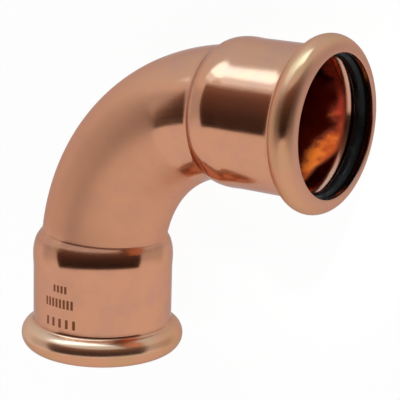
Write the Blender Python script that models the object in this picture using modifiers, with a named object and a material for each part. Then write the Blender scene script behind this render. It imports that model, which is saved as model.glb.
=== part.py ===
"""Copper press elbow, 90 degrees, with a press socket for a 28 mm pipe at each end.

The body is one piece of copper tube: bent, widened at both ends into sockets, and
rolled round at each mouth into a bead. The bead is a channel that holds a rubber
sealing ring. A pipe is pushed in past the ring as far as the shoulder, and a tool
then squeezes the bead and the socket onto it.

The fitting is drawn flat about the centre of its bend, with the plane X = 0 between
its two halves and its mouths towards -Y. It is then laid on its side, as it comes to
rest: on both beads and on the outside of the bend, with one leg towards +X and the
other towards -Y.
"""

import math

import bmesh
import bpy
from mathutils import Matrix, Vector

MM = 0.001

# The pipe and the copper tube
PIPE_D = 28.0 * MM  # outside diameter of the pipe, and of the fitting's own bend
WALL = 1.5 * MM  # the body is one tube, so its wall is the same all over
BEND_RADIUS = 37.4 * MM  # of the bend's centre line
BEND_ANGLE = math.radians(90.0)

# The socket. Its stations are measured from the neck, where it begins
SOCKET_LENGTH = 26.5 * MM  # from the neck to the mouth
SOCKET_PLAY = 0.2 * MM  # between the pipe and the socket, on the radius
NECK_OVERLAP = 5.0 * MM  # the socket is widened over this last bit of the bend
NECK_FILLET = 0.25 * MM  # inner corner between the bend and the shoulder

# The shoulder: a cone that comes out of the bend and goes over into a flat ellipse
SHOULDER_STATION = 4.7 * MM  # where it is widest
SHOULDER_SLOPE = math.radians(36.0)  # of the cone
SHOULDER_LIFT = 0.25 * MM  # from the inside of the bend up to the end of the cone
SHOULDER_STRETCH = 2.5  # how much longer than high the ellipse is
SHOULDER_SWELL = 0.12 * MM  # how far the shoulder stands out past the socket
SWELL_LENGTH = 3.0 * MM  # over which the swelling dies away

# The bead and its sealing ring
SEAL_CORD = 2.8 * MM  # thickness of the sealing ring
SEAL_BITE = 0.2 * MM  # how far the ring stands into the pipe's path, on the radius
SEAL_SEAT = 0.3 * MM  # free space between the ring and its channel
BEAD_FILLET = 0.8 * MM  # inner corner between the socket and the bead
LIP_PLAY = 0.8 * MM  # between the pipe and the mouth, on the radius
LIP_EDGE = 0.1 * MM  # rounding of the lip's edges

# How finely round shapes are divided
ROUND_STEPS = 36  # round the tube
BEND_STEPS = 7  # along one half of the bend
ARC_STEP = math.radians(18.0)  # along the outline's arcs
SWELL_STEPS = 3
CORD_STEPS = 12  # round the sealing ring's cord

# Sizes that follow
HALF_BEND = BEND_ANGLE / 2.0
TUBE_R = PIPE_D / 2.0
SOCKET_R = TUBE_R + SOCKET_PLAY + WALL
SHOULDER_R = SOCKET_R + SHOULDER_SWELL
SEAL_R = TUBE_R - SEAL_BITE + SEAL_CORD / 2.0  # centre line of the sealing ring
BEAD_ROUND = SEAL_CORD / 2.0 + SEAL_SEAT + WALL  # of the bead's own section
BEAD_R = SEAL_R + BEAD_ROUND
BEAD_STATION = SOCKET_LENGTH - BEAD_ROUND  # where the bead is widest
LIP_R = TUBE_R + LIP_PLAY

# The bend comes into the neck at a slant, so it is nearer to the socket's wall on its inside
INSIDE_OF_BEND = BEND_RADIUS - math.sqrt((BEND_RADIUS - TUBE_R) ** 2 - NECK_OVERLAP**2)

# The ellipse starts at the angle where it is as steep as the cone
SHOULDER_START = math.pi - math.atan(1.0 / (SHOULDER_STRETCH * math.tan(SHOULDER_SLOPE)))
CONE_END_R = INSIDE_OF_BEND + SHOULDER_LIFT
SHOULDER_HEIGHT = (SHOULDER_R - CONE_END_R) / (1.0 - math.sin(SHOULDER_START))
SHOULDER_REACH = SHOULDER_HEIGHT * SHOULDER_STRETCH
CONE_END = SHOULDER_STATION + SHOULDER_REACH * math.cos(SHOULDER_START)

# A fillet's centre and the bead's centre are as far apart as both radii
FILLET_REACH = BEAD_FILLET + BEAD_ROUND
FILLET_DROP = SOCKET_R + BEAD_FILLET - SEAL_R
FILLET_STATION = BEAD_STATION - math.sqrt(FILLET_REACH**2 - FILLET_DROP**2)

COPPER_COLOUR = (0.80, 0.37, 0.23, 1.0)
RUBBER_COLOUR = (0.012, 0.012, 0.013, 1.0)
MIRROR_MERGE = 0.02 * MM
RIGHT_ANGLE = math.radians(90.0)


def arc(station, radius, size, first, last, stretch=1.0):
    """Points of an arc about (station, radius), from one angle to the other.

    With a stretch it is part of an ellipse, that many times longer than high.
    """
    steps = max(2, math.ceil(abs(last - first) / ARC_STEP))
    angles = [first + (last - first) * step / steps for step in range(steps + 1)]
    reach = size * stretch
    return [(station + reach * math.cos(a), radius + size * math.sin(a)) for a in angles]


def swelling():
    """Points that run down smoothly from the shoulder to the socket, ends left out."""
    points = []
    for step in range(1, SWELL_STEPS):
        share = step / SWELL_STEPS
        height = (1.0 + math.cos(math.pi * share)) / 2.0
        points.append((SHOULDER_STATION + SWELL_LENGTH * share, SOCKET_R + SHOULDER_SWELL * height))
    return points


def socket_outline():
    """Outside of one socket as (station, radius), from inside the bend to the lip."""
    bead_turn = math.asin(FILLET_DROP / FILLET_REACH)
    points = [(-NECK_OVERLAP, TUBE_R)]
    points += arc(
        SHOULDER_STATION,
        SHOULDER_R - SHOULDER_HEIGHT,
        SHOULDER_HEIGHT,
        SHOULDER_START,
        RIGHT_ANGLE,
        SHOULDER_STRETCH,
    )
    points += swelling()
    points.append((SHOULDER_STATION + SWELL_LENGTH, SOCKET_R))
    points += arc(FILLET_STATION, SOCKET_R + BEAD_FILLET, BEAD_FILLET, -RIGHT_ANGLE, -bead_turn)
    points += arc(BEAD_STATION, SEAL_R, BEAD_ROUND, math.pi - bead_turn, 0.0)[1:]
    points.append((SOCKET_LENGTH, LIP_R))
    return points


def neck_place(swing):
    """Where the cone runs into the bend, at an angle round the leg from its outside."""
    low, high = -NECK_OVERLAP, CONE_END
    for _ in range(30):
        station = (low + high) / 2.0
        radius = CONE_END_R + (station - CONE_END) * math.tan(SHOULDER_SLOPE)
        along = station - NECK_OVERLAP
        across = BEND_RADIUS + radius * math.cos(swing)
        height = radius * math.sin(swing)
        if math.hypot(math.hypot(along, across) - BEND_RADIUS, height) > TUBE_R:
            high = station
        else:
            low = station
    return Vector((along, across, height))


def grow_bend(skin, neck_edges):
    """Carry the neck's ring round to the middle of the bend, fanning out step by step."""
    ring = neck_edges
    for steps_left in range(BEND_STEPS, 0, -1):
        made = bmesh.ops.extrude_edge_only(skin, edges=ring)["geom"]
        ring = [item for item in made if isinstance(item, bmesh.types.BMEdge)]
        for vertex in (item for item in made if isinstance(item, bmesh.types.BMVert)):
            turned = math.atan2(-vertex.co.x, vertex.co.y)
            vertex.co = Matrix.Rotation((HALF_BEND - turned) / steps_left, 3, "Z") @ vertex.co


def half_skin():
    """Outside of one half of the body: a socket and half of the bend, open at X = 0."""
    skin = bmesh.new()
    outline = [
        skin.verts.new((station - NECK_OVERLAP, BEND_RADIUS, radius))
        for station, radius in socket_outline()
    ]
    edges = [skin.edges.new(pair) for pair in zip(outline, outline[1:])]
    bmesh.ops.spin(
        skin,
        geom=outline + edges,
        cent=(0.0, BEND_RADIUS, 0.0),
        axis=(1.0, 0.0, 0.0),
        angle=math.tau,
        steps=ROUND_STEPS,
        use_merge=True,
    )
    neck = {vertex for vertex in skin.verts if vertex.co.x < MIRROR_MERGE - 2.0 * NECK_OVERLAP}
    neck_edges = [edge for edge in skin.edges if neck.issuperset(edge.verts)]
    for vertex in neck:
        vertex.co = neck_place(math.atan2(vertex.co.z, vertex.co.y - BEND_RADIUS))
    grow_bend(skin, neck_edges)
    bmesh.ops.bevel(
        skin,
        geom=neck_edges,
        offset=NECK_FILLET,
        offset_type="OFFSET",
        segments=2,
        profile=0.5,
        affect="EDGES",
        material=-1,
    )
    turn = Matrix.Rotation(-HALF_BEND, 3, "Z")
    bmesh.ops.rotate(skin, verts=skin.verts, cent=(0.0, 0.0, 0.0), matrix=turn)
    bmesh.ops.recalc_face_normals(skin, faces=skin.faces)
    return skin


def material(name, colour, roughness, metallic):
    """Plain material of one colour."""
    made = bpy.data.materials.new(name)
    made.use_nodes = True
    shader = made.node_tree.nodes["Principled BSDF"]
    shader.inputs["Base Color"].default_value = colour
    shader.inputs["Roughness"].default_value = roughness
    shader.inputs["Metallic"].default_value = metallic
    return made


def elbow_body(collection, copper):
    """The copper body: half an outer skin, mirrored, with its wall grown inwards."""
    mesh = bpy.data.meshes.new("elbow_body")
    skin = half_skin()
    skin.to_mesh(mesh)
    skin.free()
    mesh.materials.append(copper)
    body = bpy.data.objects.new("elbow_body", mesh)
    collection.objects.link(body)

    mirror = body.modifiers.new("other_half", "MIRROR")
    mirror.use_axis = (True, False, False)
    mirror.merge_threshold = MIRROR_MERGE

    wall = body.modifiers.new("wall", "SOLIDIFY")
    wall.thickness = WALL
    wall.offset = -1.0
    wall.use_even_offset = True
    wall.use_quality_normals = True

    lips = body.modifiers.new("lip_edges", "BEVEL")
    lips.width = LIP_EDGE
    lips.segments = 2
    lips.limit_method = "ANGLE"
    lips.angle_limit = math.radians(60.0)

    mesh.shade_smooth()
    mesh.set_sharp_from_angle(angle=math.radians(30.0))
    return body


def seal_ring(collection, name, side, rubber):
    """Rubber ring in the bead's channel. Side is 1 for the right leg, -1 for the left."""
    bpy.ops.mesh.primitive_torus_add(
        major_segments=ROUND_STEPS,
        minor_segments=CORD_STEPS,
        major_radius=SEAL_R,
        minor_radius=SEAL_CORD / 2.0,
    )
    ring = bpy.context.object
    ring.name = name
    ring.data.name = name
    for owner in ring.users_collection:
        owner.objects.unlink(ring)
    collection.objects.link(ring)

    leg_turn = Matrix.Rotation(-side * HALF_BEND, 3, "Z")
    out = BEAD_STATION - NECK_OVERLAP
    ring.location = leg_turn @ Vector((side * out, BEND_RADIUS, 0.0))
    ring.rotation_euler = (0.0, RIGHT_ANGLE, -side * HALF_BEND)
    ring.data.materials.append(rubber)
    ring.data.shade_smooth()
    return ring


def ring_bottom(station, radius, tilt):
    """Height of the lowest point of one ring of a leg, above the bend's centre."""
    out = (station - NECK_OVERLAP) * math.sin(HALF_BEND) - BEND_RADIUS * math.cos(HALF_BEND)
    lean = math.sin(HALF_BEND) * math.sin(tilt)
    return out * math.sin(tilt) - radius * math.sqrt(1.0 - lean**2)


def resting_tilt():
    """Tilt at which the bend or the shoulders touch the floor that the beads lie on."""
    low, high = 0.0, math.radians(45.0)
    for _ in range(50):
        tilt = (low + high) / 2.0
        bend_bottom = -BEND_RADIUS * math.sin(tilt) - TUBE_R
        shoulder_bottom = ring_bottom(SHOULDER_STATION, SHOULDER_R, tilt)
        if min(bend_bottom, shoulder_bottom) > ring_bottom(BEAD_STATION, BEAD_R, tilt):
            low = tilt
        else:
            high = tilt
    return low


def lay_down(pieces, body):
    """Tilt the fitting, turn its right leg to +X, and set it on the floor, centred."""
    rest = bpy.data.objects.new("resting_place", None)
    body.users_collection[0].objects.link(rest)
    rest.rotation_euler = (-resting_tilt(), 0.0, HALF_BEND)
    for piece in pieces:
        piece.parent = rest
    bpy.context.view_layer.update()

    finished = body.evaluated_get(bpy.context.evaluated_depsgraph_get())
    corners = [finished.matrix_world @ vertex.co for vertex in finished.data.vertices]
    lowest = Vector([min(corner[axis] for corner in corners) for axis in range(3)])
    highest = Vector([max(corner[axis] for corner in corners) for axis in range(3)])
    middle = (lowest + highest) / 2.0
    rest.location = (-middle.x, -middle.y, -lowest.z)
    bpy.context.view_layer.update()


def main():
    for existing in list(bpy.data.objects):
        bpy.data.objects.remove(existing, do_unlink=True)
    collection = bpy.data.collections.new("press_elbow")
    bpy.context.scene.collection.children.link(collection)

    copper = material("copper", COPPER_COLOUR, 0.24, 1.0)
    rubber = material("seal_rubber", RUBBER_COLOUR, 0.42, 0.0)
    body = elbow_body(collection, copper)
    left_ring = seal_ring(collection, "seal_ring_left", -1, rubber)
    right_ring = seal_ring(collection, "seal_ring_right", 1, rubber)
    lay_down([body, left_ring, right_ring], body)


main()
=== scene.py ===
"""A copper press elbow with its two rubber sealing rings: its looks, light and camera.

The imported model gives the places. The copper body and the rings are made again here
from the same sizes, in far finer steps, because polished copper mirrors every facet.
"""

import logging
import math
from dataclasses import dataclass
from enum import Enum

import bmesh
import bpy
from mathutils import Euler, Matrix, Vector


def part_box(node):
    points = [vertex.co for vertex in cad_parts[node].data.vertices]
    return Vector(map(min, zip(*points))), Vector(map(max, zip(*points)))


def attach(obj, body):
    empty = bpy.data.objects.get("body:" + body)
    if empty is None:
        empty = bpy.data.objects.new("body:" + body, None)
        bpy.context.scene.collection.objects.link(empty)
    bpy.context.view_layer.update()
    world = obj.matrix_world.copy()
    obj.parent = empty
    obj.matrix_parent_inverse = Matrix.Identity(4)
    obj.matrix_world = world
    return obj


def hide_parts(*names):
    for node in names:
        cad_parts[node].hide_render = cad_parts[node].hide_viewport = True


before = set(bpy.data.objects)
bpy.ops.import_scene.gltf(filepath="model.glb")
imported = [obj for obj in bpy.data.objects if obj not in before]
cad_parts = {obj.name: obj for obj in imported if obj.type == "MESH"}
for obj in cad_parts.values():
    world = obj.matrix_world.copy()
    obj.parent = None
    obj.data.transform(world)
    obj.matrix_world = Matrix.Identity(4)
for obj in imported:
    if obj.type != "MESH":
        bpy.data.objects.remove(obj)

LOG = logging.getLogger("press_elbow")
MM = 0.001
RIGHT_ANGLE = math.pi / 2.0
HALF_BEND = math.pi / 4.0
Outline = list[tuple[float, float]]
Span = tuple[float, float]
Colour = tuple[float, float, float, float]
Socket = bpy.types.NodeSocket
WHITE: Colour = (1.0, 1.0, 1.0, 1.0)


class Side(Enum):
    """One leg of the elbow, by the sign of its X in the drawing frame."""

    RIGHT = 1
    LEFT = -1


class Slot(Enum):
    """The record's material slots."""

    COPPER = "copper"
    RUBBER = "seal_rubber"


def placed(name: str, data: bpy.types.ID) -> bpy.types.Object:
    """Makes an object and adds it to the scene.

    Args:
        name: Its name.
        data: Its mesh, camera or light.

    Returns:
        The object.
    """
    made = bpy.data.objects.new(name, data)
    bpy.context.scene.collection.objects.link(made)
    return made


def mesh_of(name: str, shape: bmesh.types.BMesh) -> bpy.types.Mesh:
    """Makes a mesh from a bmesh.

    Args:
        name: The mesh's name.
        shape: The bmesh, which is freed.

    Returns:
        The mesh.
    """
    mesh = bpy.data.meshes.new(name)
    shape.to_mesh(mesh)
    shape.free()
    return mesh


def spin_round(shape: bmesh.types.BMesh, parts: list, middle: Vector, steps: int) -> None:
    """Turns an outline once round a line along X.

    Args:
        shape: The mesh that holds the outline.
        parts: The outline's vertices and edges.
        middle: A point on the line.
        steps: Number of steps in the full turn.
    """
    bmesh.ops.spin(
        shape,
        geom=parts,
        cent=middle,
        axis=(1.0, 0.0, 0.0),
        angle=math.tau,
        steps=steps,
        use_merge=True,
    )


def arc(
    station: float,
    radius: float,
    size: float,
    first: float,
    last: float,
    step: float,
    stretch: float = 1.0,
) -> Outline:
    """Points of an arc in an outline.

    Args:
        station: Station of the arc's centre along the leg.
        radius: Distance of the arc's centre from the leg's axis.
        size: Radius of the arc itself.
        first: Angle of its first point.
        last: Angle of its last point.
        step: Largest angle between two points.
        stretch: How much longer than high the arc is, as part of an ellipse.

    Returns:
        The points as (station, radius), ends included.
    """
    count = max(2, math.ceil(abs(last - first) / step))
    angles = [first + (last - first) * place / count for place in range(count + 1)]
    reach = size * stretch
    return [(station + reach * math.cos(a), radius + size * math.sin(a)) for a in angles]


@dataclass(frozen=True)
class ElbowSizes:
    """Sizes of the fitting in metres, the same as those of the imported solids.

    Stations run along a leg from where its socket begins.
    """

    tube_radius: float = 14.0 * MM
    wall: float = 1.5 * MM
    bend_radius: float = 37.4 * MM
    neck_overlap: float = 5.0 * MM
    neck_fillet: float = 0.25 * MM
    shoulder_station: float = 4.7 * MM
    shoulder_radius: float = 15.82 * MM
    shoulder_lift: float = 0.25 * MM
    shoulder_stretch: float = 2.5
    shoulder_slope: float = math.radians(36.0)
    swell_length: float = 3.0 * MM
    socket_radius: float = 15.7 * MM
    socket_length: float = 26.5 * MM
    bead_fillet: float = 0.8 * MM
    bead_round: float = 3.2 * MM
    cord_radius: float = 1.4 * MM
    seal_radius: float = 15.2 * MM
    lip_radius: float = 14.8 * MM

    @property
    def bead_station(self) -> float:
        """Station where the bead is widest, and where the sealing ring lies."""
        return self.socket_length - self.bead_round

    @property
    def bead_turn(self) -> float:
        """Angle to the leg's axis of the line from the bead's centre to its fillet's."""
        reach = self.bead_fillet + self.bead_round
        return math.asin((self.socket_radius + self.bead_fillet - self.seal_radius) / reach)

    @property
    def fillet_station(self) -> float:
        """Station where the socket runs into the bead's fillet."""
        reach = self.bead_fillet + self.bead_round
        return self.bead_station - reach * math.cos(self.bead_turn)

    @property
    def bead_radius(self) -> float:
        """Outside radius of the bead."""
        return self.seal_radius + self.bead_round

    @property
    def shoulder_start(self) -> float:
        """Angle on the shoulder's ellipse at which its steepest slope is reached."""
        return math.pi - math.atan(1.0 / (self.shoulder_stretch * math.tan(self.shoulder_slope)))

    @property
    def cone_end(self) -> float:
        """Radius where the shoulder's ellipse goes over into its cone."""
        inner_reach = math.sqrt((self.bend_radius - self.tube_radius) ** 2 - self.neck_overlap**2)
        return self.bend_radius - inner_reach + self.shoulder_lift

    @property
    def shoulder_height(self) -> float:
        """Half height of the shoulder's ellipse."""
        return (self.shoulder_radius - self.cone_end) / (1.0 - math.sin(self.shoulder_start))

    def cone_radius(self, station: float) -> float:
        """Radius of the shoulder's cone, which carries on the ellipse's steepest slope.

        Args:
            station: Station along the leg.

        Returns:
            The radius there.
        """
        reach = self.shoulder_height * self.shoulder_stretch
        end = self.shoulder_station + reach * math.cos(self.shoulder_start)
        return self.cone_end + (station - end) * math.tan(self.shoulder_slope)

    @property
    def neck_along(self) -> float:
        """Length of tube from the middle of the bend to the neck."""
        return self.bend_radius * HALF_BEND - self.neck_overlap

    def leg_point(self, side: Side, station: float) -> Vector:
        """A point on a leg's axis in the drawing frame.

        Args:
            side: Which leg.
            station: Station along it.

        Returns:
            The point.
        """
        turn = Matrix.Rotation(-side.value * HALF_BEND, 3, "Z")
        out = side.value * (station - self.neck_overlap)
        return turn @ Vector((out, self.bend_radius, 0.0))


@dataclass(frozen=True)
class RestingPlace:
    """Where the fitting lies: on both beads and its bend, centred."""

    sizes: ElbowSizes
    halvings: int = 50

    def ring_bottom(self, station: float, radius: float, tilt: float) -> float:
        """Height of a ring's lowest point over the bend's centre.

        Args:
            station: Station of the ring along its leg.
            radius: Radius of the ring.
            tilt: Angle by which the fitting is tilted.

        Returns:
            The height in metres, below zero.
        """
        sizes = self.sizes
        out = (station - sizes.neck_overlap) * math.sin(HALF_BEND)
        out -= sizes.bend_radius * math.cos(HALF_BEND)
        lean = math.sin(HALF_BEND) * math.sin(tilt)
        return out * math.sin(tilt) - radius * math.sqrt(1.0 - lean**2)

    def tilt(self) -> float:
        """How far the fitting tilts until its bend or its shoulders are as low as its beads.

        Returns:
            The angle.
        """
        sizes = self.sizes
        low, high = 0.0, HALF_BEND
        for _ in range(self.halvings):
            tilt = (low + high) / 2.0
            bend = -sizes.bend_radius * math.sin(tilt) - sizes.tube_radius
            shoulder = self.ring_bottom(sizes.shoulder_station, sizes.shoulder_radius, tilt)
            if min(bend, shoulder) > self.ring_bottom(sizes.bead_station, sizes.bead_radius, tilt):
                low = tilt
            else:
                high = tilt
        return low

    def matrix(self) -> Matrix:
        """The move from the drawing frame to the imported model's frame.

        Returns:
            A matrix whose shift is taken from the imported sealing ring.
        """
        turn = Matrix.Rotation(HALF_BEND, 4, "Z") @ Matrix.Rotation(-self.tilt(), 4, "X")
        low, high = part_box("seal_ring_right")
        drawn = turn @ self.sizes.leg_point(Side.RIGHT, self.sizes.bead_station)
        return Matrix.Translation((low + high) / 2.0 - drawn) @ turn


@dataclass(frozen=True)
class Grain:
    """One kind of unevenness: bumps per metre on each axis, and finer layers of less weight.

    Dulling and relief say how far it moves the roughness and the height.
    """

    stretch: tuple[float, float, float]
    layers: float = 3.0
    weight: float = 0.6
    dulling: float = 0.0
    relief: float = 0.0


class Signal:
    """A number that changes over a surface, to be used in sums and products."""

    def __init__(self, graph: "ShaderGraph", socket: Socket) -> None:
        """Wraps one output of a node."""
        self.graph = graph
        self.socket = socket

    def __add__(self, other: "Signal | float") -> "Signal":
        """Sum."""
        return self.graph.math("ADD", self, other)

    def __mul__(self, other: "Signal | float") -> "Signal":
        """Product."""
        return self.graph.math("MULTIPLY", self, other)

    def __sub__(self, other: "Signal | float") -> "Signal":
        """Difference."""
        return self.graph.math("SUBTRACT", self, other)

    def __rsub__(self, other: float) -> "Signal":
        """Difference from a number."""
        return self.graph.math("SUBTRACT", other, self)

    def __truediv__(self, other: "Signal | float") -> "Signal":
        """Quotient."""
        return self.graph.math("DIVIDE", self, other)

    def __abs__(self) -> "Signal":
        """Size without its sign."""
        return self.graph.math("ABSOLUTE", self)

    __radd__ = __add__
    __rmul__ = __mul__

    def centred(self) -> "Signal":
        """Moves the middle of a noise to 0."""
        return self - 0.5

    def above(self, low: float, high: float) -> "Signal":
        """Eases from 0 to 1.

        Args:
            low: Where it leaves 0.
            high: Where it reaches 1.

        Returns:
            The eased share.
        """
        sockets = {"Value": self, "From Min": low, "From Max": high}
        eased = self.graph.node("ShaderNodeMapRange", sockets, interpolation_type="SMOOTHSTEP")
        return Signal(self.graph, eased.outputs["Result"])

    def eased(self, span: Span, levels: Span) -> "Signal":
        """Eases from the first level to the second over a span of this value."""
        return self.above(*span) * (levels[1] - levels[0]) + levels[0]

    def within(self, low: float, high: float, edge: float) -> "Signal":
        """Is 1 between low and high, with soft edges."""
        return self.above(low - edge, low + edge) * (1.0 - self.above(high - edge, high + edge))


class ShaderGraph:
    """The nodes of a material or of the world, added by name and value."""

    def __init__(self, owner: "bpy.types.Material | bpy.types.World", output: str) -> None:
        """Empties the owner's nodes and adds its output.

        Args:
            owner: The material or the world.
            output: Type of its output node.
        """
        owner.use_nodes = True
        self.tree = owner.node_tree
        self.tree.nodes.clear()
        self.output = self.tree.nodes.new(output)

    @classmethod
    def for_material(cls, name: str) -> "tuple[ShaderGraph, bpy.types.Material]":
        """Makes a material and its graph."""
        made = bpy.data.materials.new(name)
        return cls(made, "ShaderNodeOutputMaterial"), made

    def node(self, kind: str, sockets: dict, **settings: object) -> bpy.types.Node:
        """Adds a node.

        Args:
            kind: The node's type.
            sockets: Values or links of its inputs, by name or number.
            settings: Its own properties, set first.

        Returns:
            The node.
        """
        made = self.tree.nodes.new(kind)
        for name, value in settings.items():
            setattr(made, name, value)
        for name, value in sockets.items():
            if isinstance(value, Signal):
                self.tree.links.new(value.socket, made.inputs[name])
            elif isinstance(value, Socket):
                self.tree.links.new(value, made.inputs[name])
            else:
                made.inputs[name].default_value = value
        return made

    def math(self, operation: str, *values: "Signal | float") -> Signal:
        """Adds a Math node on one or more values."""
        made = self.node("ShaderNodeMath", dict(enumerate(values)), operation=operation)
        return Signal(self, made.outputs[0])

    def dot(self, place: Socket, axis: Vector) -> Signal:
        """How far a direction goes along an axis.

        Args:
            place: The direction.
            axis: The axis, of length 1.

        Returns:
            The length.
        """
        sockets = {0: place, 1: tuple(axis)}
        made = self.node("ShaderNodeVectorMath", sockets, operation="DOT_PRODUCT")
        return Signal(self, made.outputs["Value"])

    def attribute(self, name: str) -> tuple[Socket, Signal, Signal, Signal]:
        """Reads a vector that the mesh carries.

        Args:
            name: The vector's name.

        Returns:
            The vector as a whole, then its three parts.
        """
        read = self.node("ShaderNodeAttribute", {}, attribute_name=name)
        split = self.node("ShaderNodeSeparateXYZ", {0: read.outputs["Vector"]})
        return (read.outputs["Vector"], *(Signal(self, end) for end in split.outputs))

    def noise(self, place: Socket, grain: Grain) -> Signal:
        """Noise from 0 to 1 with its own scale on each axis.

        Args:
            place: Where on the surface.
            grain: The noise's scales and layers.

        Returns:
            The noise, whose middle is 0.5.
        """
        sockets = {0: place, 1: grain.stretch}
        scaled = self.node("ShaderNodeVectorMath", sockets, operation="MULTIPLY")
        sockets = {
            "Vector": scaled.outputs[0],
            "Scale": 1.0,
            "Detail": grain.layers,
            "Roughness": grain.weight,
        }
        made = self.node("ShaderNodeTexNoise", sockets)
        return Signal(self, made.outputs["Fac"])

    def blend(self, share: Signal, first: "Colour | Socket", second: Colour) -> Socket:
        """Mixes two colours.

        Args:
            share: How much of the second colour shows.
            first: A colour or a link to one.
            second: A colour.

        Returns:
            The mixed colour.
        """
        sockets = {0: share, 6: first, 7: second}
        made = self.node("ShaderNodeMix", sockets, data_type="RGBA", clamp_factor=True)
        return made.outputs[2]

    def join(self, shader: bpy.types.Node) -> None:
        """Joins a shader to the output."""
        self.tree.links.new(shader.outputs[0], self.output.inputs["Surface"])

    def principled(self, sockets: dict) -> None:
        """Adds the surface shader and joins it to the output."""
        self.join(self.node("ShaderNodeBsdfPrincipled", sockets))

    def seen(self) -> Signal:
        """Is 1 for what the camera itself sees, and 0 for what is mirrored or lit."""
        return Signal(self, self.node("ShaderNodeLightPath", {}).outputs["Is Camera Ray"])

    def join_mixed(self, share: Signal, first: bpy.types.Node, second: bpy.types.Node) -> None:
        """Joins two shaders to the output; share is how much of the second shows."""
        sockets = {0: share, 1: first.outputs[0], 2: second.outputs[0]}
        self.join(self.node("ShaderNodeMixShader", sockets))

    def bump(self, height: Signal, reach: float) -> Socket:
        """A normal from a height of 0 to 1 that stands for reach in metres."""
        made = self.node("ShaderNodeBump", {"Distance": reach, "Height": height})
        return made.outputs["Normal"]


@dataclass(frozen=True)
class BarRow:
    """One row of short plain bars etched round the left socket.

    All are metres, apart from the count and the bars' edge, which is a share of the pitch.
    """

    along: float
    start: float
    count: int
    pitch: float
    width: float
    height: float
    bar_edge: float = 0.05
    end_edge: float = 0.02 * MM
    height_edge: float = 0.1 * MM

    def mask(self, along: Signal, girth: Signal) -> Signal:
        """Is 1 on the row's bars.

        Args:
            along: Length from the middle of the bend, below zero on the left leg.
            girth: Length round the socket from its upper side.

        Returns:
            A mask with slightly soft edges.
        """
        share = self.width / self.pitch / 2.0
        place = along.graph.math("FRACT", (girth - self.start) / self.pitch)
        bars = place.within(0.5 - share, 0.5 + share, self.bar_edge)
        inside = girth.within(self.start, self.start + self.count * self.pitch, self.end_edge)
        half = self.height / 2.0
        band = along.within(-self.along - half, -self.along + half, self.height_edge)
        return bars * inside * band


@dataclass(frozen=True)
class OuterZones:
    """Where the parts of the outside are, each a mask from 0 to 1."""

    bead: Signal
    crest: Signal
    front: Signal
    bend: Signal
    right: Signal
    # Mask of a painted highlight on the left bead's upper flank.
    painted_highlight: Signal
    worn: Signal
    marks: Signal


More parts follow.
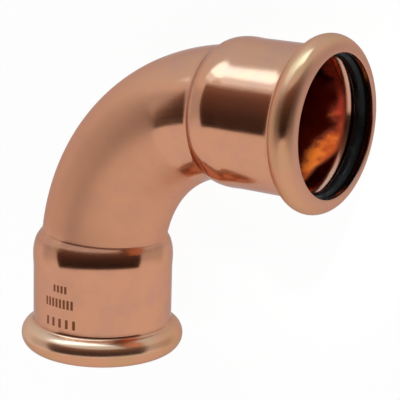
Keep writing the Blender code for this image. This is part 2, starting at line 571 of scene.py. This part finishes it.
@dataclass(frozen=True)
class OuterCopper:
    """Outside of the body: polished sockets, a satin bend, tarnish in the creases and a painted
    highlight on the left bead.

    Stations are those of a leg. A share says how much of a colour or a finish shows.
    """

    sizes: ElbowSizes
    name: str = "outer_copper"
    clean: Colour = (0.81, 0.385, 0.228, 1.0)
    clouded: Colour = (0.73, 0.36, 0.245, 1.0)
    brassy: Colour = (0.74, 0.41, 0.20, 1.0)
    rosy: Colour = (0.74, 0.39, 0.275, 1.0)
    # Pale cream of a painted highlight on the left bead's upper flank.
    painted_highlight: Colour = (0.92, 0.58, 0.39, 1.0)
    tarnished: Colour = (0.50, 0.24, 0.145, 1.0)
    etched: Colour = (0.33, 0.12, 0.055, 1.0)
    edge_tint: Colour = (0.70, 0.64, 0.64, 1.0)
    # How uneven the surface is: broad clouds, fine grain, and lines along and round the tube.
    cloud: Grain = Grain((170.0, 170.0, 170.0), weight=0.55, dulling=0.09, relief=0.35)
    speckle: Grain = Grain((900.0, 900.0, 900.0), relief=0.12)
    drawn: Grain = Grain((50.0, 1500.0, 1500.0), dulling=0.05, relief=0.10)
    rolled: Grain = Grain((2400.0, 50.0, 50.0), relief=0.14)
    # How much of each tone shows, and where in the noise it begins and is full.
    clouding: Span = (0.40, 0.70)
    cloud_share: float = 0.8
    cloud_lost_on_bend: float = 0.4
    brassing: Span = (0.4, 0.62)
    brass_shares: Span = (0.1, 0.7)
    rosy_share: float = 0.7
    # The painted highlight on the left bead's upper flank and the creases along the leg, and how
    # wide their edges are.
    painted_highlight_gaps: Span = (0.5 * MM, 0.8 * MM)
    painted_highlight_edge: float = 0.4 * MM
    painted_highlight_high: Span = (0.0, 8.0 * MM)
    painted_highlight_share: float = 0.75
    neck_crease: Span = (-0.1 * MM, 1.3 * MM)
    neck_edge: float = 0.6 * MM
    fillet_crease: Span = (-0.3 * MM, 0.9 * MM)
    fillet_edge: float = 0.5 * MM
    fillet_share: float = 0.6
    wearing: Span = (0.35, 0.65)
    worn_shares: Span = (0.2, 0.4)
    # Roughness of the polished and the satin parts, and what is added to it.
    polish: float = 0.13
    satin: float = 0.40
    bead_satin: float = 0.25
    left_flank_share: float = 0.25
    bead_dulling: float = 0.03
    worn_dulling: float = 0.34
    mark_dulling: float = 0.3
    # Stations of the bead, and where the satin begins and ends from the middle of the bend.
    bead_ease: float = 1.2 * MM
    crest: Span = (24.1 * MM, 25.5 * MM)
    crest_edge: float = 0.6 * MM
    middle: Span = (-1.0 * MM, 1.0 * MM)
    satin_left: Span = (-25.0 * MM, -22.0 * MM)
    satin_right: Span = (12.8 * MM, 16.3 * MM)
    # What the bend and the bars add to the relief, and its depth in all.
    bend_relief: float = 0.4
    mark_relief: float = 0.3
    relief_reach: float = 0.05 * MM
    rows: tuple[BarRow, ...] = (
        BarRow(33.9 * MM, -2.4 * MM, 4, 1.0 * MM, 0.6 * MM, 1.6 * MM),
        BarRow(37.2 * MM, -4.0 * MM, 8, 1.0 * MM, 0.6 * MM, 2.0 * MM),
        BarRow(41.7 * MM, -4.9 * MM, 5, 1.8 * MM, 0.7 * MM, 2.0 * MM),
    )

    def creases(self, station: Signal, speckle: Signal) -> Signal:
        """How tarnished the surface is in the neck and behind the bead.

        Args:
            station: Station along the leg.
            speckle: Noise that makes the tarnish uneven.

        Returns:
            A share from 0 to 1.
        """
        behind = self.sizes.fillet_station
        first, last = (behind + place for place in self.fillet_crease)
        neck = station.within(*self.neck_crease, self.neck_edge)
        fillet = station.within(first, last, self.fillet_edge)
        return (neck + fillet * self.fillet_share) * speckle.eased(self.wearing, self.worn_shares)

    def marks(self, graph: ShaderGraph, along: Signal, across: Signal, high: Signal) -> Signal:
        """Is 1 where the plain bars are etched.

        Args:
            graph: The material's nodes.
            along: Length from the middle of the bend.
            across: Place across the tube, away from the bend's centre.
            high: Place across the tube, upwards.

        Returns:
            The mask of all rows.
        """
        girth = graph.math("ARCTAN2", across, high) * self.sizes.socket_radius
        masks = [row.mask(along, girth) for row in self.rows]
        return sum(masks[1:], masks[0])

    def painted_highlight_flank(self, station: Signal, right: Signal, high: Signal) -> Signal:
        """Where a pale highlight is painted on the upper side of the left bead, between its fillet
        and its crest.

        Args:
            station: Station along the leg.
            right: Is 1 on the right leg.
            high: Place across the tube, upwards.

        Returns:
            A mask from 0 to 1.
        """
        first = self.sizes.fillet_station + self.painted_highlight_gaps[0]
        last = self.crest[0] - self.painted_highlight_gaps[1]
        flank = station.within(first, last, self.painted_highlight_edge)
        return flank * (1.0 - right) * high.above(*self.painted_highlight_high)

    def colour(self, graph: ShaderGraph, zones: OuterZones, cloud: Signal) -> Socket:
        """Lays the copper's tones over one another.

        Args:
            graph: The material's nodes.
            zones: Where the parts of the outside are.
            cloud: Noise that makes the tones uneven.

        Returns:
            The base colour.
        """
        clouds = self.cloud_share - zones.bend * self.cloud_lost_on_bend
        clouds = cloud.above(*self.clouding) * clouds
        brass = cloud.eased(self.brassing, self.brass_shares)
        colour = graph.blend(clouds, self.clean, self.clouded)
        colour = graph.blend((zones.bead - zones.front) * brass, colour, self.brassy)
        colour = graph.blend(zones.front * self.rosy_share, colour, self.rosy)
        # Painted highlight: pale cream on the upper flank of the left bead.
        colour = graph.blend(zones.painted_highlight * self.painted_highlight_share, colour, self.painted_highlight)
        colour = graph.blend(zones.worn, colour, self.tarnished)
        return graph.blend(zones.marks, colour, self.etched)

    def roughness(self, zones: OuterZones, cloud: Signal, drawn: Signal) -> Signal:
        """Adds up the roughness: polish, satin bend, bead flanks, tarnish and bars.

        Args:
            zones: Where the parts of the outside are.
            cloud: Broad unevenness.
            drawn: Fine lines along the tube.

        Returns:
            The roughness.
        """
        rough = cloud.centred() * self.cloud.dulling + drawn.centred() * self.drawn.dulling
        rough = rough + zones.bend * (self.satin - self.polish)
        legs = self.left_flank_share + zones.right * (1.0 - self.left_flank_share)
        flanks = zones.bead * (1.0 - zones.crest) * legs
        rough = rough + zones.bead * self.bead_dulling + flanks * self.bead_satin
        rough = rough + zones.worn * self.worn_dulling + zones.marks * self.mark_dulling
        return rough + self.polish

    def material(self) -> bpy.types.Material:
        """Makes the finish.

        Returns:
            Its material.
        """
        graph, made = ShaderGraph.for_material(self.name)
        sizes = self.sizes
        place, along, across, high = graph.attribute("straight")
        station = abs(along) - sizes.neck_along
        right = along.above(*self.middle)
        cloud = graph.noise(place, self.cloud)
        speckle = graph.noise(place, self.speckle)
        drawn = graph.noise(place, self.drawn)
        rolled = graph.noise(place, self.rolled)
        zones = OuterZones(
            bead=station.above(sizes.fillet_station, sizes.fillet_station + self.bead_ease),
            crest=station.within(*self.crest, self.crest_edge),
            front=station.above(self.crest[1], sizes.socket_length),
            bend=along.above(*self.satin_left) * (1.0 - along.above(*self.satin_right)),
            right=right,
            painted_highlight=self.painted_highlight_flank(station, right, high),
            worn=self.creases(station, speckle),
            marks=self.marks(graph, along, across, high),
        )
        relief = cloud.centred() * (self.cloud.relief + zones.bend * self.bend_relief)
        relief = relief + speckle.centred() * zones.bend * self.speckle.relief
        relief = relief + drawn.centred() * (1.0 - zones.bead) * self.drawn.relief
        relief = relief + rolled.centred() * zones.bead * self.rolled.relief
        relief = relief + 0.5 - zones.marks * self.mark_relief
        graph.principled(
            {
                "Base Color": self.colour(graph, zones, cloud),
                "Metallic": 1.0,
                "Roughness": self.roughness(zones, cloud, drawn),
                "Specular Tint": self.edge_tint,
                "Normal": graph.bump(relief, self.relief_reach),
            }
        )
        return made


@dataclass(frozen=True)
class InnerCopper:
    """Inside of the body: channel and lips dark with grease and painted shade, a bright mouth,
    an orange belt of painted glow, and brown painted shade in the depth.

    Edges, starts and ends are stations of a leg, each from where it begins to where it ends.
    """

    sizes: ElbowSizes
    name: str = "inner_copper"
    # Grease and painted shade darken the channel and the lips.
    channel_grease_and_shade: Colour = (0.28, 0.22, 0.19, 1.0)
    mouth: Colour = (0.80, 0.42, 0.30, 1.0)
    # Orange and red of a painted glow of light bounced inside the tube; the mouth lamp also lights
    # its dull share.
    painted_glow_orange: Colour = (1.0, 0.25, 0.035, 1.0)
    painted_glow_red: Colour = (0.85, 0.09, 0.045, 1.0)
    # Painted shade and reddened reflection deep inside the tube.
    depth: Colour = (0.50, 0.15, 0.08, 1.0)
    ragged: Grain = Grain((170.0, 240.0, 240.0), weight=0.5, dulling=0.12)
    drawn: Grain = Grain((60.0, 1200.0, 1200.0), dulling=0.06, relief=0.1)
    channel_edge: Span = (21.8 * MM, 22.2 * MM)
    mouth_edge: Span = (20.3 * MM, 20.9 * MM)
    belt_start: Span = (15.2 * MM, 18.8 * MM)
    belt_end: Span = (19.0 * MM, 20.6 * MM)
    start_fringe: float = 9.0 * MM
    end_fringe: float = 2.25 * MM
    belt_sag: float = 3.3 * MM
    start_sags: Span = (-9.0 * MM, -2.0 * MM)
    end_sags: Span = (-12.5 * MM, -7.0 * MM)
    # The painted glow belt's dullness and its colours, by the noise and by the place across the
    # tube.
    dulling: Span = (0.35, 0.6)
    dull_shares: Span = (0.5, 1.0)
    fading: Span = (1.0 * MM, 9.0 * MM)
    fade_shares: Span = (0.82, 0.328)
    reddening: Span = (-7.0 * MM, 4.0 * MM)
    glowing: Span = (0.38, 0.6)
    painted_red_shares: Span = (0.6, 0.0)
    roughness: float = 0.24
    mouth_polish: float = 0.06
    relief_reach: float = 0.06 * MM

    def painted_glow_belt(self, station: Signal, across: Signal, ragged: Signal) -> Signal:
        """How much of the belt of painted orange glow shows; it sags inwards on the bend's inner
        side.

        Args:
            station: Station along the leg.
            across: Place across the tube, away from the bend's centre.
            ragged: Noise that makes the belt's edge uneven.

        Returns:
            A share from 0 to 1.
        """
        start = station + ragged.centred() * self.start_fringe
        start = start + (1.0 - across.above(*self.start_sags)) * self.belt_sag
        end = station + ragged.centred() * self.end_fringe
        end = end + (1.0 - across.above(*self.end_sags)) * self.belt_sag
        return start.above(*self.belt_start) * (1.0 - end.above(*self.belt_end))

    def material(self) -> bpy.types.Material:
        """Makes the finish.

        Returns:
            Its material.
        """
        graph, made = ShaderGraph.for_material(self.name)
        place, along, across, _ = graph.attribute("straight")
        station = abs(along) - self.sizes.neck_along
        ragged = graph.noise(place, self.ragged)
        drawn = graph.noise(place, self.drawn)
        painted_glow_belt = self.painted_glow_belt(station, across, ragged)
        mouth = station.above(*self.mouth_edge)
        channel_grease_and_shade = station.above(*self.channel_edge)
        dull = painted_glow_belt * (1.0 - mouth) * ragged.eased(self.dulling, self.dull_shares)
        dull = dull * across.eased(self.fading, self.fade_shares)
        # Painted glow: orange and red where the bounced light would fall.
        painted_red_share = ragged.eased(self.glowing, self.painted_red_shares)
        colour = graph.blend(across.above(*self.reddening) + painted_red_share, self.painted_glow_orange, self.painted_glow_red)
        # Painted shade everywhere inside outside the glow belt.
        colour = graph.blend(1.0 - painted_glow_belt, colour, self.depth)
        colour = graph.blend(mouth, colour, self.mouth)
        rough = ragged.centred() * self.ragged.dulling + drawn.centred() * self.drawn.dulling
        relief = ragged + drawn * self.drawn.relief
        graph.principled(
            {
                # Grease and painted shade in the channel and on the lips.
                "Base Color": graph.blend(channel_grease_and_shade, colour, self.channel_grease_and_shade),
                "Metallic": 1.0 - dull,
                "Roughness": rough + self.roughness - mouth * self.mouth_polish,
                "Normal": graph.bump(relief, self.relief_reach),
            }
        )
        return made


@dataclass(frozen=True)
class SealRubber:
    """Black moulded rubber with an uneven film of grease."""

    name: str = "seal_rubber"
    dry: Colour = (0.004, 0.004, 0.0045, 1.0)
    dusty: Colour = (0.012, 0.0115, 0.011, 1.0)
    gloss: float = 0.2
    film: Grain = Grain((320.0, 320.0, 320.0))
    skin: Grain = Grain((3200.0, 3200.0, 3200.0), layers=2.0, weight=0.5)
    dusting: Span = (0.55, 0.75)
    drying: Span = (0.35, 0.65)
    roughness: Span = (0.16, 0.50)
    skin_reach: float = 0.004 * MM

    def material(self) -> bpy.types.Material:
        """Makes the finish.

        Returns:
            Its material.
        """
        graph, made = ShaderGraph.for_material(self.name)
        place = graph.node("ShaderNodeTexCoord", {}).outputs["Object"]
        film = graph.noise(place, self.film)
        skin = graph.noise(place, self.skin)
        graph.principled(
            {
                "Base Color": graph.blend(film.above(*self.dusting), self.dry, self.dusty),
                "Roughness": film.eased(self.drying, self.roughness),
                "Specular IOR Level": self.gloss,
                "Normal": graph.bump(skin, self.skin_reach),
            }
        )
        return made


@dataclass
class CopperBody:
    """The copper body: one tube, bent, widened into sockets and rolled at its mouths."""

    sizes: ElbowSizes
    place: Matrix
    round_steps: int = 144
    bend_steps: int = 28
    swell_steps: int = 6
    socket_steps: int = 10
    neck_steps: int = 4
    lip_steps: int = 5
    halvings: int = 30
    arc_step: float = math.radians(7.5)
    fillet_step: float = math.radians(12.0)
    lip_angle: float = math.radians(60.0)
    lip_edge: float = 0.3 * MM
    merge: float = 0.01 * MM

    def outline(self) -> Outline:
        """Outside of one socket from the neck to the lip.

        Returns:
            Its points as (station, radius).
        """
        sizes = self.sizes
        points = [(-sizes.neck_overlap, sizes.tube_radius)]
        points += arc(
            sizes.shoulder_station,
            sizes.shoulder_radius - sizes.shoulder_height,
            sizes.shoulder_height,
            sizes.shoulder_start,
            RIGHT_ANGLE,
            self.arc_step,
            sizes.shoulder_stretch,
        )
        points += self.swelling()
        swell_end = sizes.shoulder_station + sizes.swell_length
        points += self.plain_run(swell_end, sizes.fillet_station)
        points += arc(
            sizes.fillet_station,
            sizes.socket_radius + sizes.bead_fillet,
            sizes.bead_fillet,
            -RIGHT_ANGLE,
            -sizes.bead_turn,
            self.fillet_step,
        )
        points += arc(
            sizes.bead_station,
            sizes.seal_radius,
            sizes.bead_round,
            math.pi - sizes.bead_turn,
            0.0,
            self.arc_step,
        )[1:]
        points.append((sizes.socket_length, sizes.lip_radius))
        return points

    def swelling(self) -> Outline:
        """Runs down from the shoulder to the plain socket.

        Returns:
            The points, without the first.
        """
        sizes = self.sizes
        swell = sizes.shoulder_radius - sizes.socket_radius
        shares = [place / self.swell_steps for place in range(1, self.swell_steps + 1)]
        return [
            (
                sizes.shoulder_station + sizes.swell_length * share,
                sizes.socket_radius + swell * (1.0 + math.cos(math.pi * share)) / 2.0,
            )
            for share in shares
        ]

    def plain_run(self, first: float, last: float) -> Outline:
        """Runs along the plain part of the socket.

        Args:
            first: Station where it starts.
            last: Station where it ends.

        Returns:
            The points between them.
        """
        return [
            (first + (last - first) * place / self.socket_steps, self.sizes.socket_radius)
            for place in range(1, self.socket_steps)
        ]

    def neck_place(self, swing: float) -> Vector:
        """Where the shoulder's cone runs into the bend, in the leg's drawing frame.

        Args:
            swing: Angle round the leg's axis from the outside of the bend.

        Returns:
            The point.
        """
        sizes = self.sizes
        low, high = -sizes.neck_overlap, sizes.shoulder_station
        point = Vector()
        for _ in range(self.halvings):
            station = (low + high) / 2.0
            radius = sizes.cone_radius(station)
            point.x = station - sizes.neck_overlap
            point.y = sizes.bend_radius + radius * math.cos(swing)
            point.z = radius * math.sin(swing)
            out = math.hypot(point.x, point.y) - sizes.bend_radius
            if math.hypot(out, point.z) > sizes.tube_radius:
                high = station
            else:
                low = station
        return point

    def grow_bend(self, skin: bmesh.types.BMesh, neck_edges: list) -> None:
        """Carries the neck's ring round to the middle of the bend, in even steps.

        Args:
            skin: The mesh that holds the ring.
            neck_edges: The ring's edges.
        """
        ring = neck_edges
        for left in range(self.bend_steps, 0, -1):
            made = bmesh.ops.extrude_edge_only(skin, edges=ring)["geom"]
            ring = [item for item in made if isinstance(item, bmesh.types.BMEdge)]
            for vertex in (item for item in made if isinstance(item, bmesh.types.BMVert)):
                turned = math.atan2(-vertex.co.x, vertex.co.y)
                vertex.co = Matrix.Rotation((HALF_BEND - turned) / left, 3, "Z") @ vertex.co

    def half_skin(self) -> bmesh.types.BMesh:
        """Makes the outside of one half of the body in the drawing frame.

        Returns:
            Its faces, open at X = 0.
        """
        sizes = self.sizes
        skin = bmesh.new()
        points = [
            skin.verts.new((station - sizes.neck_overlap, sizes.bend_radius, radius))
            for station, radius in self.outline()
        ]
        edges = [skin.edges.new(pair) for pair in zip(points, points[1:])]
        axis = Vector((0.0, sizes.bend_radius, 0.0))
        spin_round(skin, points + edges, axis, self.round_steps)
        neck = {v for v in skin.verts if v.co.x < self.merge - 2.0 * sizes.neck_overlap}
        neck_edges = [edge for edge in skin.edges if neck.issuperset(edge.verts)]
        for vertex in neck:
            vertex.co = self.neck_place(math.atan2(vertex.co.z, vertex.co.y - sizes.bend_radius))
        self.grow_bend(skin, neck_edges)
        bmesh.ops.bevel(
            skin,
            geom=neck_edges,
            offset=sizes.neck_fillet,
            offset_type="OFFSET",
            segments=self.neck_steps,
            profile=0.5,
            affect="EDGES",
            material=-1,
        )
        turn = Matrix.Rotation(-HALF_BEND, 3, "Z")
        bmesh.ops.rotate(skin, verts=skin.verts, cent=(0.0, 0.0, 0.0), matrix=turn)
        bmesh.ops.recalc_face_normals(skin, faces=skin.faces)
        return skin

    def shell(self) -> bpy.types.Mesh:
        """Makes the whole body with its wall and its rounded lips.

        Returns:
            The mesh in the drawing frame.
        """
        mesh = mesh_of("body_skin", self.half_skin())
        rough = placed("body_skin", mesh)
        mirror = rough.modifiers.new("other_half", "MIRROR")
        mirror.merge_threshold = self.merge
        wall = rough.modifiers.new("wall", "SOLIDIFY")
        wall.thickness = self.sizes.wall
        wall.offset = -1.0
        wall.use_even_offset = True
        wall.use_quality_normals = True
        wall.material_offset = 1
        wall.material_offset_rim = 1
        lips = rough.modifiers.new("lip_edges", "BEVEL")
        lips.width = self.lip_edge
        lips.segments = self.lip_steps
        lips.limit_method = "ANGLE"
        lips.angle_limit = self.lip_angle
        mesh.materials.append(bpy.data.materials.new("outside"))
        mesh.materials.append(bpy.data.materials.new("inside"))
        finished = rough.evaluated_get(bpy.context.evaluated_depsgraph_get())
        made = bpy.data.meshes.new_from_object(finished)
        bpy.data.objects.remove(rough, do_unlink=True)
        return made

    def straightened(self, point: Vector) -> tuple[float, float, float]:
        """Where a point would be if the tube were pulled straight along X.

        Args:
            point: A point in the drawing frame.

        Returns:
            Length from the middle of the bend, then the place across the tube.
        """
        sizes = self.sizes
        side = 1.0 if point.x >= 0.0 else -1.0
        leg = Matrix.Rotation(side * HALF_BEND, 3, "Z") @ point
        out = side * leg.x
        if out > -sizes.neck_overlap:
            along = sizes.bend_radius * HALF_BEND + out
            across = leg.y - sizes.bend_radius
        else:
            along = sizes.bend_radius * math.atan2(abs(point.x), point.y)
            across = math.hypot(point.x, point.y) - sizes.bend_radius
        return side * along, across, point.z

    def build(self, outside: bpy.types.Material, inside: bpy.types.Material) -> bpy.types.Object:
        """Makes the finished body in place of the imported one.

        Args:
            outside: Finish of the outer faces.
            inside: Finish of the inner faces and the cut lips.

        Returns:
            The body's object.
        """
        mesh = self.shell()
        mesh.name = "copper_body"
        straight = mesh.attributes.new("straight", "FLOAT_VECTOR", "POINT")
        for vertex, carried in zip(mesh.vertices, straight.data):
            carried.vector = self.straightened(vertex.co)
        mesh.transform(self.place)
        mesh.materials[0] = outside
        mesh.materials[1] = inside
        mesh.shade_smooth()
        body = placed("copper_body", mesh)
        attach(body, "root")
        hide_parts("elbow_body")
        return body


@dataclass
class SealRing:
    """A sealing ring in its channel."""

    sizes: ElbowSizes
    place: Matrix
    side: Side
    round_steps: int = 160
    cord_steps: int = 28
    merge: float = 0.001 * MM

    def build(self, finish: bpy.types.Material) -> bpy.types.Object:
        """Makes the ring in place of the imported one.

        Args:
            finish: Its material.

        Returns:
            The ring's object.
        """
        sizes = self.sizes
        node = f"seal_ring_{self.side.name.lower()}"
        cord = bmesh.new()
        section = bmesh.ops.create_circle(
            cord, segments=self.cord_steps, radius=sizes.cord_radius
        )["verts"]
        turn = Matrix.Rotation(RIGHT_ANGLE, 3, "X")
        bmesh.ops.rotate(cord, verts=section, cent=(0.0, 0.0, 0.0), matrix=turn)
        bmesh.ops.translate(cord, verts=section, vec=(0.0, 0.0, sizes.seal_radius))
        spin_round(cord, cord.verts[:] + cord.edges[:], Vector(), self.round_steps)
        bmesh.ops.remove_doubles(cord, verts=cord.verts, dist=self.merge)
        bmesh.ops.recalc_face_normals(cord, faces=cord.faces)
        mesh = mesh_of(f"rubber_{node}", cord)
        leg_turn = Matrix.Rotation(-self.side.value * HALF_BEND, 4, "Z")
        middle = sizes.leg_point(self.side, sizes.bead_station)
        mesh.transform(self.place @ Matrix.Translation(middle) @ leg_turn)
        mesh.materials.append(finish)
        mesh.shade_smooth()
        ring = placed(f"rubber_{node}", mesh)
        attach(ring, "root")
        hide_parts(node)
        return ring


@dataclass(frozen=True)
class PhotoCamera:
    """The camera, where the photograph was taken from; its angles are in degrees."""

    eye: tuple[float, float, float] = (0.15065, 0.113616, 0.285385)
    turn: tuple[float, float, float] = (-21.4858, 27.6481, -2.4984)
    lens: float = 136.724
    clip_start: float = 0.01

    def rotation(self) -> Euler:
        """The camera's turn."""
        return Euler([math.radians(angle) for angle in self.turn])

    def axes(self) -> list[Vector]:
        """The photographer's right, up and back."""
        turn = self.rotation().to_matrix()
        return [Vector(turn.col[axis]) for axis in range(3)]

    def build(self) -> None:
        """Makes the camera and gives it to the scene."""
        data = bpy.data.cameras.new("photo_camera")
        data.lens = self.lens
        data.clip_start = self.clip_start
        camera = placed("photo_camera", data)
        camera.location = self.eye
        camera.rotation_euler = self.rotation()
        bpy.context.scene.camera = camera


@dataclass(frozen=True)
class PaperFloor:
    """White paper under the fitting, which the copper doesn't mirror.

    To the camera it shines mostly by itself, and is as white as the background.
    """

    side: float = 3.0
    paper: Colour = (0.9, 0.9, 0.9, 1.0)
    roughness: float = 0.9
    glow: float = 0.92
    glow_level: float = 1.04

    def build(self) -> None:
        """Makes the floor."""
        sheet = bmesh.new()
        bmesh.ops.create_grid(sheet, x_segments=1, y_segments=1, size=self.side / 2.0)
        mesh = mesh_of("floor", sheet)
        floor = placed("floor", mesh)
        floor.visible_glossy = False
        floor.visible_shadow = False
        graph, made = ShaderGraph.for_material("pale_floor")
        sockets = {"Base Color": self.paper, "Roughness": self.roughness}
        matt = graph.node("ShaderNodeBsdfPrincipled", sockets)
        white = graph.node("ShaderNodeEmission", {"Color": WHITE, "Strength": self.glow_level})
        graph.join_mixed(graph.seen() * self.glow, matt, white)
        mesh.materials.append(made)


@dataclass(frozen=True)
class DarkRoom:
    """The dark room behind the photographer, as the copper mirrors it.

    A swing is an angle from straight behind towards the photographer's right, and a slope
    is height over distance. The halo is a dim band that runs on to both sides of the room.
    """

    levels: Span = (0.02, 0.28)
    fade: Span = (-0.45, 0.8)
    swing: Span = (math.radians(-76.5), math.radians(67.0))
    swing_edge: float = 0.035
    foot: float = -0.47
    foot_curve: float = 0.085
    foot_edge: float = 0.03
    top: float = 0.675
    top_edge: float = 0.06
    halo: float = 0.28
    halo_swing: Span = (math.radians(-112.0), math.radians(118.0))
    halo_slope: Span = (-0.12, 0.5)
    halo_edge: float = 0.15
    least_square: float = 0.0001

    def shade(self, graph: ShaderGraph, across: Signal, up: Signal, back: Signal) -> Signal:
        """How much light is left in a direction.

        Args:
            graph: The world's nodes.
            across: The direction's part along the photographer's right.
            up: Its part along the photographer's up.
            back: Its part towards the photographer.

        Returns:
            A level from near 0 in the dark room to 1 outside it.
        """
        swing = graph.math("ARCTAN2", across, back)
        square = across * across + back * back + self.least_square
        slope = up / graph.math("SQRT", square)
        over_foot = slope - (swing * swing * self.foot_curve + self.foot)
        over_top = slope - self.top
        dark = swing.within(*self.swing, self.swing_edge)
        dark = dark * over_foot.above(-self.foot_edge, self.foot_edge)
        dark = dark * (1.0 - over_top.above(-self.top_edge, self.top_edge))
        depth = slope.eased(self.fade, self.levels)
        near = swing.within(*self.halo_swing, self.halo_edge)
        dim = near * slope.within(*self.halo_slope, self.halo_edge) * self.halo
        return (1.0 - dim) * (1.0 - dark * (1.0 - depth))


@dataclass(frozen=True)
class Softbox:
    """The long softbox over the photographer, with a dimmer end on the left.

    Its sides are given as shares of its height over the fitting.
    """

    level: float = 1.8
    tint: Colour = (0.55, 1.0, 1.3, 1.0)
    aside: Span = (-0.88, 0.33)
    aside_edge: float = 0.05
    ahead: Span = (0.02, 0.5)
    ahead_edge: float = 0.06
    dim_aside: Span = (-1.22, -0.88)
    dim_edge: float = 0.08
    dim_share: float = 0.3
    horizon: Span = (0.05, 0.1)

    def light(self, across: Signal, up: Signal, back: Signal) -> Signal:
        """How bright the softbox is in a direction.

        Args:
            across: The direction's part along the photographer's right.
            up: Its part along the photographer's up.
            back: Its part towards the photographer.

        Returns:
            Its level, 0 beside it.
        """
        aside = across / up
        ahead = (back / up).within(*self.ahead, self.ahead_edge)
        core = aside.within(*self.aside, self.aside_edge) * ahead
        dim_end = aside.within(*self.dim_aside, self.dim_edge) * ahead
        return up.above(*self.horizon) * (core + dim_end * self.dim_share) * self.level


@dataclass(frozen=True)
class Studio:
    """Pale surroundings with a bluish ceiling, one long softbox and the dark room.

    It is set out from the photographer's axes, and stays there when the view is turned.
    """

    camera: PhotoCamera
    dark_room: DarkRoom = DarkRoom()
    softbox: Softbox = Softbox()
    level: float = 0.72
    ceiling: Colour = (0.86, 1.04, 1.16, 1.0)
    ceiling_start: Span = (0.35, 0.95)
    gloom: Colour = (1.25, 0.78, 0.62, 1.0)
    gloom_end: Span = (0.2, 0.6)

    def build(self) -> None:
        """Lights the scene: what the copper mirrors is all here."""
        world = bpy.data.worlds.new("studio")
        bpy.context.scene.world = world
        graph = ShaderGraph(world, "ShaderNodeOutputWorld")
        direction = graph.node("ShaderNodeTexCoord", {}).outputs["Generated"]
        across, up, back = (graph.dot(direction, axis) for axis in self.camera.axes())
        shade = self.dark_room.shade(graph, across, up, back)
        tint = graph.blend(up.above(*self.ceiling_start), WHITE, self.ceiling)
        tint = graph.blend(1.0 - shade.above(*self.gloom_end), tint, self.gloom)
        pale = self.background(graph, tint, shade * self.level)
        light = self.softbox.light(across, up, back)
        bright = self.background(graph, self.softbox.tint, light)
        both = graph.node("ShaderNodeAddShader", {0: pale.outputs[0], 1: bright.outputs[0]})
        graph.join_mixed(graph.seen(), both, self.background(graph, WHITE, 1.0))

    @staticmethod
    def background(
        graph: ShaderGraph, colour: "Colour | Socket", level: "Signal | float"
    ) -> bpy.types.Node:
        """Adds a light of the world, with its colour and its level."""
        return graph.node("ShaderNodeBackground", {"Color": colour, "Strength": level})


@dataclass(frozen=True)
class MouthLamp:
    """A narrow lamp over the photographer's shoulder that lights the inside of the mouth.

    Only surfaces with a dull share take its light: polished copper doesn't mirror it. It
    stands away from the mouth by so much along the leg, across it and upwards.
    """

    sizes: ElbowSizes
    place: Matrix
    away: tuple[float, float, float] = (0.38, 0.60, 0.70)
    distance: float = 0.3
    power: float = 4.0
    cone: float = math.radians(9.0)
    blend: float = 0.5
    softness: float = 0.02

    def build(self) -> None:
        """Makes the lamp and aims it at the right mouth."""
        data = bpy.data.lights.new("mouth_lamp", "SPOT")
        data.energy = self.power
        data.spot_size = self.cone
        data.spot_blend = self.blend
        data.shadow_soft_size = self.softness
        mouth = self.place @ self.sizes.leg_point(Side.RIGHT, self.sizes.socket_length)
        leg = Matrix.Rotation(-HALF_BEND, 3, "Z") @ Vector(self.away)
        away = (self.place.to_3x3() @ leg).normalized()
        lamp = placed("mouth_lamp", data)
        lamp.location = mouth + away * self.distance
        lamp.rotation_euler = away.to_track_quat("Z", "Y").to_euler()
        lamp.visible_glossy = False


def main() -> None:
    """Builds the fitting, the camera, the floor, the studio and the lamp, in that order."""
    logging.basicConfig(level=logging.INFO, format="%(message)s")
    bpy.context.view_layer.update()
    sizes = ElbowSizes()
    place = RestingPlace(sizes).matrix()
    outside = OuterCopper(sizes).material()
    inside = InnerCopper(sizes).material()
    rubber = SealRubber().material()
    body = CopperBody(sizes, place).build(outside, inside)
    LOG.info("%s: %d faces", body.name, len(body.data.polygons))
    for side in Side:
        ring = SealRing(sizes, place, side).build(rubber)
        LOG.info("%s: %d faces", ring.name, len(ring.data.polygons))
    camera = PhotoCamera()
    camera.build()
    PaperFloor().build()
    Studio(camera).build()
    MouthLamp(sizes, place).build()
    bpy.context.scene.view_settings.view_transform = "Standard"


if __name__ == "__main__":
    main()
